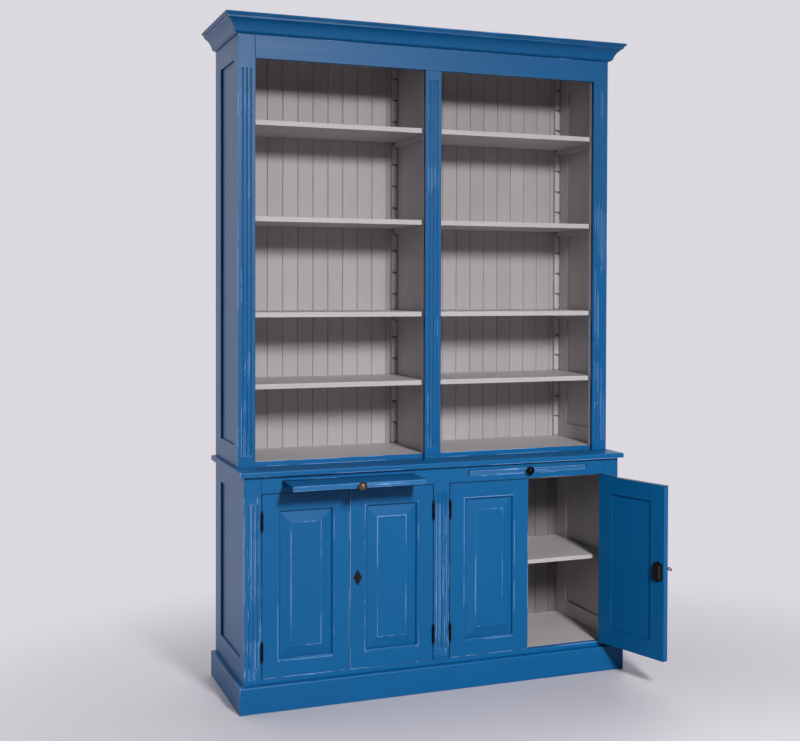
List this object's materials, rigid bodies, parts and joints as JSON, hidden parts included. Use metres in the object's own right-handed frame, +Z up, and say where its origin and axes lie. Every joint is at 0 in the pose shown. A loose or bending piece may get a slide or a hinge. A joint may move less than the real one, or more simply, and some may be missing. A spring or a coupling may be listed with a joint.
{
  "type": "bookcase with cabinet doors",
  "caption": "Two-part painted bookcase: open shelves on racks above a cupboard base with panelled doors, rim locks and pull-out slides under the top board.",
  "frame": {"origin": "on the floor, at the middle of the base: the middle cross bearer of the plinth stands on it", "axes": "+Z up, +Y from the front towards the back, +X to the right as seen from the front"},
  "size_m": [1.5826, 0.7686, 2.4],
  "materials": {
    "blue_paint": "blue brushed paint on pine, worn through on the edges",
    "grey_paint": "warm light grey matt paint on pine",
    "bare_pine": "bare planed pine",
    "dark_iron": "dark bronzed iron"
  },
  "bodies": {
    "case": {"base_back_boards": "grey_paint", "base_floor": "grey_paint", "base_left_side": "blue_paint", "base_partition": "grey_paint", "base_pilasters": "blue_paint", "base_right_side": "blue_paint", "base_shelf_cleats": "grey_paint", "base_top_board": "blue_paint", "base_top_rail": "blue_paint", "cornice_front": "blue_paint", "cornice_returns": "blue_paint", "door_stops": "bare_pine", "frame_hinge_halves": "dark_iron", "frieze": "blue_paint", "locating_pegs": "bare_pine", "plinth_bearers": "bare_pine", "plinth_boards": "blue_paint", "shelf_cleats": "grey_paint", "shelf_racks": "grey_paint", "slide_runners": "bare_pine", "upper_back_boards": "grey_paint", "upper_floor": "grey_paint", "upper_left_side": "blue_paint", "upper_partition": "grey_paint", "upper_pilasters": "blue_paint", "upper_right_side": "blue_paint", "upper_roof": "grey_paint"},
    "door_1": {"door_1_frame": "blue_paint", "door_1_hinges": "dark_iron", "door_1_panel": "blue_paint"},
    "door_2": {"door_2_escutcheon": "dark_iron", "door_2_frame": "blue_paint", "door_2_hinges": "dark_iron", "door_2_lock": "dark_iron", "door_2_panel": "blue_paint"},
    "door_3": {"door_3_frame": "blue_paint", "door_3_hinges": "dark_iron", "door_3_panel": "blue_paint"},
    "door_4": {"door_4_escutcheon": "dark_iron", "door_4_frame": "blue_paint", "door_4_hinges": "dark_iron", "door_4_lock": "dark_iron", "door_4_panel": "blue_paint"},
    "door_2_bolt": {"door_2_lock_bolt": "dark_iron"},
    "door_4_bolt": {"door_4_lock_bolt": "dark_iron"},
    "door_4_key": {"door_4_key": "dark_iron"},
    "left_slide": {"left_slide": "blue_paint", "left_slide_knob": "dark_iron"},
    "right_slide": {"right_slide": "blue_paint", "right_slide_knob": "dark_iron"},
    "upper_left_shelf_1": {"upper_left_shelf_1": "grey_paint"},
    "upper_right_shelf_1": {"upper_right_shelf_1": "grey_paint"},
    "upper_left_shelf_2": {"upper_left_shelf_2": "grey_paint"},
    "upper_right_shelf_2": {"upper_right_shelf_2": "grey_paint"},
    "upper_left_shelf_3": {"upper_left_shelf_3": "grey_paint"},
    "upper_right_shelf_3": {"upper_right_shelf_3": "grey_paint"},
    "upper_left_shelf_4": {"upper_left_shelf_4": "grey_paint"},
    "upper_right_shelf_4": {"upper_right_shelf_4": "grey_paint"},
    "base_left_shelf": {"base_left_shelf": "grey_paint"},
    "base_right_shelf": {"base_right_shelf": "grey_paint"}
  },
  "joints": [
    {"name": "door_1_hinge", "type": "hinge", "parent": "case", "child": "door_1", "pos_m": [-0.667, -0.2317, 0.206], "axis": [0, 0, -1], "range_deg": [0, 170]},
    {"name": "door_2_hinge", "type": "hinge", "parent": "case", "child": "door_2", "pos_m": [-0.0325, -0.2317, 0.206], "axis": [0, 0, 1], "range_deg": [0, 95]},
    {"name": "door_3_hinge", "type": "hinge", "parent": "case", "child": "door_3", "pos_m": [0.0325, -0.2317, 0.206], "axis": [0, 0, -1], "range_deg": [0, 95]},
    {"name": "door_4_hinge", "type": "hinge", "parent": "case", "child": "door_4", "pos_m": [0.667, -0.2317, 0.206], "axis": [0, 0, 1], "range_deg": [-107, 63]},
    {"name": "left_slide_travel", "type": "slide", "parent": "case", "child": "left_slide", "axis": [0, -1, 0], "range_m": [-0.124, 0.146]},
    {"name": "right_slide_travel", "type": "slide", "parent": "case", "child": "right_slide", "axis": [0, -1, 0], "range_m": [0, 0.27]},
    {"name": "door_2_bolt_throw", "type": "slide", "parent": "door_2", "child": "door_2_bolt", "axis": [-1, 0, 0], "range_m": [0, 0.02]},
    {"name": "door_4_key_turn", "type": "hinge", "parent": "door_4", "child": "door_4_key", "pos_m": [0.72616, -0.51482, 0.434], "axis": [-0.9563, -0.2924, 0], "range_deg": [0, 180]},
    {"name": "door_4_bolt_throw", "type": "slide", "parent": "door_4", "child": "door_4_bolt", "axis": [0.2924, -0.9563, 0], "range_m": [0, 0.02]},
    {"name": "upper_left_shelf_1_lift", "type": "slide", "parent": "case", "child": "upper_left_shelf_1", "axis": [0, 0, 1], "range_m": [0, 0.03]},
    {"name": "upper_right_shelf_1_lift", "type": "slide", "parent": "case", "child": "upper_right_shelf_1", "axis": [0, 0, 1], "range_m": [0, 0.03]},
    {"name": "upper_left_shelf_2_lift", "type": "slide", "parent": "case", "child": "upper_left_shelf_2", "axis": [0, 0, 1], "range_m": [0, 0.03]},
    {"name": "upper_right_shelf_2_lift", "type": "slide", "parent": "case", "child": "upper_right_shelf_2", "axis": [0, 0, 1], "range_m": [0, 0.03]},
    {"name": "upper_left_shelf_3_lift", "type": "slide", "parent": "case", "child": "upper_left_shelf_3", "axis": [0, 0, 1], "range_m": [0, 0.03]},
    {"name": "upper_right_shelf_3_lift", "type": "slide", "parent": "case", "child": "upper_right_shelf_3", "axis": [0, 0, 1], "range_m": [0, 0.03]},
    {"name": "upper_left_shelf_4_lift", "type": "slide", "parent": "case", "child": "upper_left_shelf_4", "axis": [0, 0, 1], "range_m": [0, 0.03]},
    {"name": "upper_right_shelf_4_lift", "type": "slide", "parent": "case", "child": "upper_right_shelf_4", "axis": [0, 0, 1], "range_m": [0, 0.03]},
    {"name": "base_left_shelf_lift", "type": "slide", "parent": "case", "child": "base_left_shelf", "axis": [0, 0, 1], "range_m": [0, 0.03]},
    {"name": "base_right_shelf_lift", "type": "slide", "parent": "case", "child": "base_right_shelf", "axis": [0, 0, 1], "range_m": [0, 0.03]}
  ],
  "couplings": [
    {"joint": "door_4_key_turn", "follows": "door_4_bolt_throw", "rad_per_m": 157.08}
  ]
}
